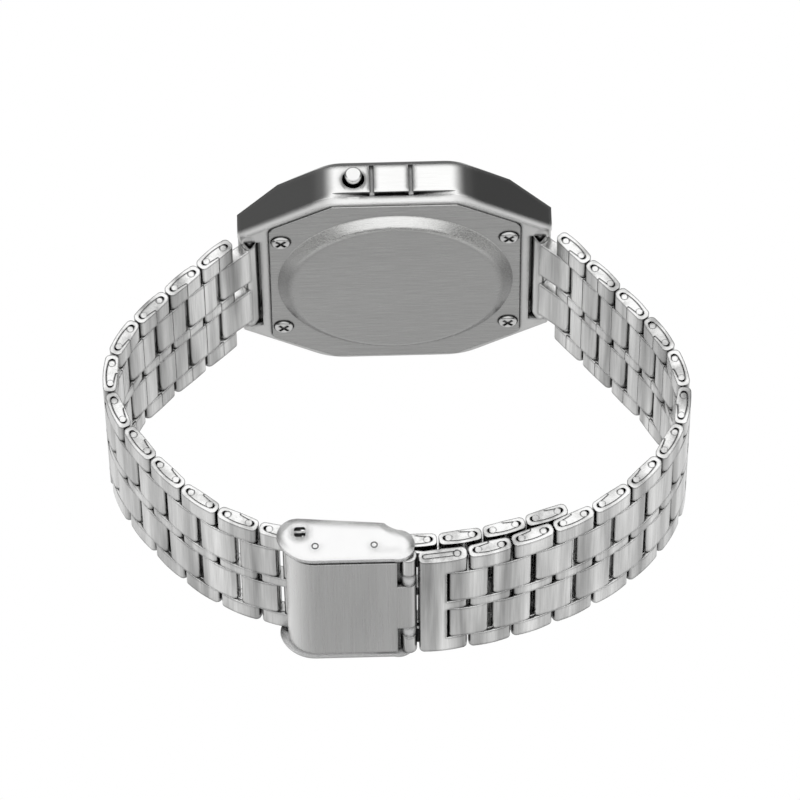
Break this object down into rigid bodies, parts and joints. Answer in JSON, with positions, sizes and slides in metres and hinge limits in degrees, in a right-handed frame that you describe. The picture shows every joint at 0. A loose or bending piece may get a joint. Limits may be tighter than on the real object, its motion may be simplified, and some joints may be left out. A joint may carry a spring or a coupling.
{
  "type": "digital wristwatch",
  "caption": "Octagonal digital wristwatch with a screwed case back, side pushers and a closed bracelet of folded and solid steel links with a sliding box clasp.",
  "frame": {"origin": "centre of the raised round face of the case back", "axes": "+X towards 12 o'clock, +Y towards the dial, +Z towards 3 o'clock; the watch stands on its 9 o'clock side"},
  "size_m": [0.0677, 0.0521, 0.0356],
  "materials": {
    "case_steel": "polished bevels, brushed sides",
    "back_steel": "brushed along the watch, bright round edge",
    "screw_steel": "satin",
    "pusher_steel": "polished",
    "band_steel": "brushed faces, bright folded edges",
    "clasp_steel": "polished sides, brushed cover",
    "pin_steel": "satin",
    "spring_steel": "satin wire",
    "crystal_clear": "clear",
    "panel_print": "printed dark panel",
    "display_glass": "grey display glass",
    "lamp_clear": "clear",
    "module_plastic": "moulded",
    "board_resin": "coated board",
    "black_rubber": "matte",
    "cell_steel": "satin",
    "strap_steel": "satin sheet",
    "buzzer_brass": "thin disc"
  },
  "bodies": {
    "case": {"case_body": "case_steel", "back_cover": "back_steel", "back_screws": "screw_steel", "back_gasket": "black_rubber", "crystal": "crystal_clear", "dial_panel": "panel_print", "module_frame": "module_plastic", "circuit_board": "board_resin", "lcd_glass": "display_glass", "zebra_strips": "black_rubber", "lamp": "lamp_clear", "battery": "cell_steel", "battery_strap": "strap_steel", "buzzer_disc": "buzzer_brass", "buzzer_spring": "spring_steel", "pusher_seals": "black_rubber", "pusher_spring_light": "spring_steel", "pusher_spring_mode": "spring_steel", "pusher_spring_alarm": "spring_steel", "spring_bar_left": "pin_steel", "spring_bar_right": "pin_steel"},
    "light_pusher": {"pusher_light": "pusher_steel"},
    "mode_pusher": {"pusher_mode": "pusher_steel"},
    "alarm_pusher": {"pusher_alarm": "pusher_steel"},
    "left_tube": {"end_tube_left": "band_steel"},
    "right_tube": {"end_tube_right": "band_steel"},
    "left_row_01": {"link_left_01": "band_steel"},
    "left_row_02": {"link_left_02": "band_steel"},
    "left_row_03": {"link_left_03": "band_steel"},
    "left_row_04": {"link_left_04": "band_steel"},
    "left_row_05": {"link_left_05": "band_steel"},
    "left_row_06": {"link_left_06": "band_steel"},
    "left_row_07": {"link_left_07": "band_steel"},
    "left_row_08": {"link_left_08": "band_steel"},
    "left_row_09": {"link_left_09": "band_steel"},
    "left_row_10": {"link_left_10": "band_steel"},
    "right_row_01": {"link_right_01": "band_steel"},
    "right_row_02": {"link_right_02": "band_steel"},
    "right_row_03": {"link_right_03": "band_steel"},
    "right_row_04": {"link_right_04": "band_steel"},
    "right_row_05": {"link_right_05": "band_steel"},
    "right_row_06": {"link_right_06": "band_steel"},
    "right_row_07": {"link_right_07": "band_steel"},
    "right_row_08": {"link_right_08": "band_steel"},
    "right_row_09": {"link_right_09": "band_steel"},
    "right_row_10": {"link_right_10": "band_steel"},
    "right_row_11": {"link_right_11": "band_steel"},
    "right_row_12": {"link_right_12": "band_steel"},
    "end_link": {"end_link": "band_steel"},
    "clasp": {"clasp_frame": "clasp_steel", "clasp_pin": "pin_steel", "catch_plate": "clasp_steel", "band_in_clasp": "band_steel"},
    "cover": {"clasp_cover": "clasp_steel"},
    "tail_1": {"tail_link_1": "band_steel"},
    "tail_2": {"tail_link_2": "band_steel"},
    "tail_3": {"tail_link_3": "band_steel"}
  },
  "joints": [
    {"name": "light_press", "type": "slide", "parent": "case", "child": "light_pusher", "axis": [0, 0, 1], "range_m": [0, 0.0007], "stiffness_N_per_m": 1500, "springref_m": -0.0003, "deforming": ["pusher_spring_light"]},
    {"name": "mode_press", "type": "slide", "parent": "case", "child": "mode_pusher", "axis": [0, 0, 1], "range_m": [0, 0.0007], "stiffness_N_per_m": 1500, "springref_m": -0.0003, "deforming": ["pusher_spring_mode"]},
    {"name": "alarm_press", "type": "slide", "parent": "case", "child": "alarm_pusher", "axis": [0, 0, -1], "range_m": [0, 0.0007], "stiffness_N_per_m": 1500, "springref_m": -0.0003, "deforming": ["pusher_spring_alarm"]},
    {"name": "left_lug_hinge", "type": "hinge", "parent": "case", "child": "left_tube", "pos_m": [-0.017, 0.00175, 0], "axis": [0, 0, 1], "range_deg": [-33, 0]},
    {"name": "left_pin_01", "type": "hinge", "parent": "left_tube", "child": "left_row_01", "pos_m": [-0.02006, -0.00067, 0], "axis": [0, 0, 1], "range_deg": [-2, 0]},
    {"name": "left_pin_02", "type": "hinge", "parent": "left_row_01", "child": "left_row_02", "pos_m": [-0.02381, -0.00415, 0], "axis": [0, 0, 1], "range_deg": [-2, 0]},
    {"name": "left_pin_03", "type": "hinge", "parent": "left_row_02", "child": "left_row_03", "pos_m": [-0.02752, -0.00769, 0], "axis": [0, 0, 1], "range_deg": [-4.75, 0]},
    {"name": "left_pin_04", "type": "hinge", "parent": "left_row_03", "child": "left_row_04", "pos_m": [-0.03092, -0.01151, 0], "axis": [0, 0, 1], "range_deg": [-17.25, 0]},
    {"name": "left_pin_05", "type": "hinge", "parent": "left_row_04", "child": "left_row_05", "pos_m": [-0.03304, -0.01614, 0], "axis": [0, 0, 1], "range_deg": [-27.75, 0]},
    {"name": "left_pin_06", "type": "hinge", "parent": "left_row_05", "child": "left_row_06", "pos_m": [-0.03278, -0.02121, 0], "axis": [0, 0, 1], "range_deg": [-22.5, 0]},
    {"name": "left_pin_07", "type": "hinge", "parent": "left_row_06", "child": "left_row_07", "pos_m": [-0.03057, -0.02581, 0], "axis": [0, 0, 1], "range_deg": [-10.25, 0]},
    {"name": "left_pin_08", "type": "hinge", "parent": "left_row_07", "child": "left_row_08", "pos_m": [-0.02756, -0.02995, 0], "axis": [0, 0, 1], "range_deg": [-7, 0]},
    {"name": "left_pin_09", "type": "hinge", "parent": "left_row_08", "child": "left_row_09", "pos_m": [-0.02406, -0.03369, 0], "axis": [0, 0, 1], "range_deg": [-10.75, 0]},
    {"name": "left_pin_10", "type": "hinge", "parent": "left_row_09", "child": "left_row_10", "pos_m": [-0.01994, -0.03671, 0], "axis": [0, 0, 1], "range_deg": [-12.75, 0]},
    {"name": "right_lug_hinge", "type": "hinge", "parent": "case", "child": "right_tube", "pos_m": [0.017, 0.00175, 0], "axis": [0, 0, 1], "range_deg": [0, 36]},
    {"name": "right_pin_01", "type": "hinge", "parent": "right_tube", "child": "right_row_01", "pos_m": [0.01993, -0.00082, 0], "axis": [0, 0, 1], "range_deg": [0, 2]},
    {"name": "right_pin_02", "type": "hinge", "parent": "right_row_01", "child": "right_row_02", "pos_m": [0.02317, -0.00479, 0], "axis": [0, 0, 1], "range_deg": [0, 2]},
    {"name": "right_pin_03", "type": "hinge", "parent": "right_row_02", "child": "right_row_03", "pos_m": [0.02641, -0.00875, 0], "axis": [0, 0, 1], "range_deg": [0, 2.25]},
    {"name": "right_pin_04", "type": "hinge", "parent": "right_row_03", "child": "right_row_04", "pos_m": [0.02949, -0.01284, 0], "axis": [0, 0, 1], "range_deg": [0, 9.75]},
    {"name": "right_pin_05", "type": "hinge", "parent": "right_row_04", "child": "right_row_05", "pos_m": [0.03184, -0.01739, 0], "axis": [0, 0, 1], "range_deg": [0, 18.75]},
    {"name": "right_pin_06", "type": "hinge", "parent": "right_row_05", "child": "right_row_06", "pos_m": [0.03261, -0.02242, 0], "axis": [0, 0, 1], "range_deg": [0, 23.25]},
    {"name": "right_pin_07", "type": "hinge", "parent": "right_row_06", "child": "right_row_07", "pos_m": [0.03133, -0.02735, 0], "axis": [0, 0, 1], "range_deg": [0, 18.75]},
    {"name": "right_pin_08", "type": "hinge", "parent": "right_row_07", "child": "right_row_08", "pos_m": [0.02853, -0.03162, 0], "axis": [0, 0, 1], "range_deg": [0, 13.25]},
    {"name": "right_pin_09", "type": "hinge", "parent": "right_row_08", "child": "right_row_09", "pos_m": [0.02481, -0.03513, 0], "axis": [0, 0, 1], "range_deg": [0, 10.5]},
    {"name": "right_pin_10", "type": "hinge", "parent": "right_row_09", "child": "right_row_10", "pos_m": [0.02051, -0.0379, 0], "axis": [0, 0, 1], "range_deg": [0, 8.5]},
    {"name": "right_pin_11", "type": "hinge", "parent": "right_row_10", "child": "right_row_11", "pos_m": [0.01585, -0.04001, 0], "axis": [0, 0, 1], "range_deg": [0, 5.75]},
    {"name": "right_pin_12", "type": "hinge", "parent": "right_row_11", "child": "right_row_12", "pos_m": [0.01099, -0.04163, 0], "axis": [0, 0, 1], "range_deg": [0, 7.25]},
    {"name": "end_link_pin", "type": "hinge", "parent": "right_row_12", "child": "end_link", "pos_m": [0.00598, -0.04264, 0], "axis": [0, 0, 1], "range_deg": [0, 6.5]},
    {"name": "clasp_hinge", "type": "hinge", "parent": "end_link", "child": "clasp", "pos_m": [0.00048, -0.04293, 0], "axis": [0, 0, 1], "range_deg": [0, 25]},
    {"name": "cover_hinge", "type": "hinge", "parent": "clasp", "child": "cover", "pos_m": [0.00048, -0.04293, 0], "axis": [0, 0, 1], "range_deg": [0, 70]},
    {"name": "tail_pin_1", "type": "hinge", "parent": "clasp", "child": "tail_1", "pos_m": [0.00263, -0.04066, 0], "axis": [0, 0, 1], "range_deg": [0, 20]},
    {"name": "tail_pin_2", "type": "hinge", "parent": "tail_1", "child": "tail_2", "pos_m": [0.00772, -0.04013, 0], "axis": [0, 0, 1], "range_deg": [0, 20]},
    {"name": "tail_pin_3", "type": "hinge", "parent": "tail_2", "child": "tail_3", "pos_m": [0.01269, -0.03894, 0], "axis": [0, 0, 1], "range_deg": [0, 20]}
  ]
}
